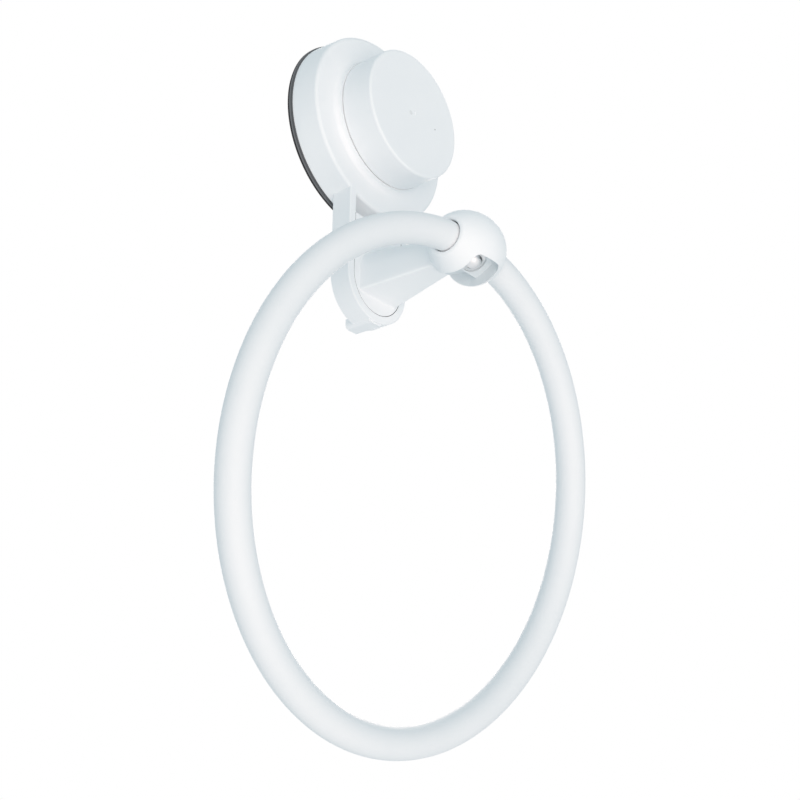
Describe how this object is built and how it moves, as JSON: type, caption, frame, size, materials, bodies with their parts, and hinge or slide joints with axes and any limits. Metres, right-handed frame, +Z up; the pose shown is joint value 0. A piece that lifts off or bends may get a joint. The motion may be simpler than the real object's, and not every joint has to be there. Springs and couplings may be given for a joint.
{
  "type": "towel ring",
  "caption": "Towel ring on a round suction mount: a turning knob draws the cup against the wall, and a round hoop swings in the barrel-shaped head of a short arm.",
  "frame": {"origin": "centre of the suction cup's flat face, on the wall", "axes": "+Y into the wall, so the mount stands out along -Y; +Z up; +X to the right when facing the wall"},
  "size_m": [0.198, 0.0734, 0.2975],
  "materials": {
    "white_plastic": "satin",
    "ring_plastic": "satin",
    "black_rubber": "matte",
    "screw_steel": "polished",
    "stud_steel": "zinc plated",
    "insert_brass": "turned",
    "washer_nylon": "matte"
  },
  "bodies": {
    "root": {"housing": "white_plastic", "suction_cup": "black_rubber", "thrust_washer": "washer_nylon", "arm": "white_plastic", "arm_screw": "stud_steel", "ring_screw": "screw_steel"},
    "knob": {"knob": "white_plastic", "knob_insert": "insert_brass"},
    "stud": {"draw_stud": "stud_steel"},
    "ring": {"ring": "ring_plastic", "ring_pin": "stud_steel"}
  },
  "joints": [
    {"name": "knob_turn", "type": "hinge", "parent": "root", "child": "knob", "pos_m": [0, -0.0175, 0], "axis": [0, 1, 0], "range_deg": [0, 360]},
    {"name": "stud_draw", "type": "slide", "parent": "root", "child": "stud", "axis": [0, -1, 0], "range_m": [0, 0.003], "deforming": ["suction_cup"]},
    {"name": "ring_swing", "type": "hinge", "parent": "root", "child": "ring", "pos_m": [0, -0.0592, -0.0705], "axis": [-1, 0, 0], "range_deg": [-3.6, 209]}
  ],
  "couplings": [
    {"joint": "stud_draw", "follows": "knob_turn", "m_per_rad": 0.000477}
  ]
}
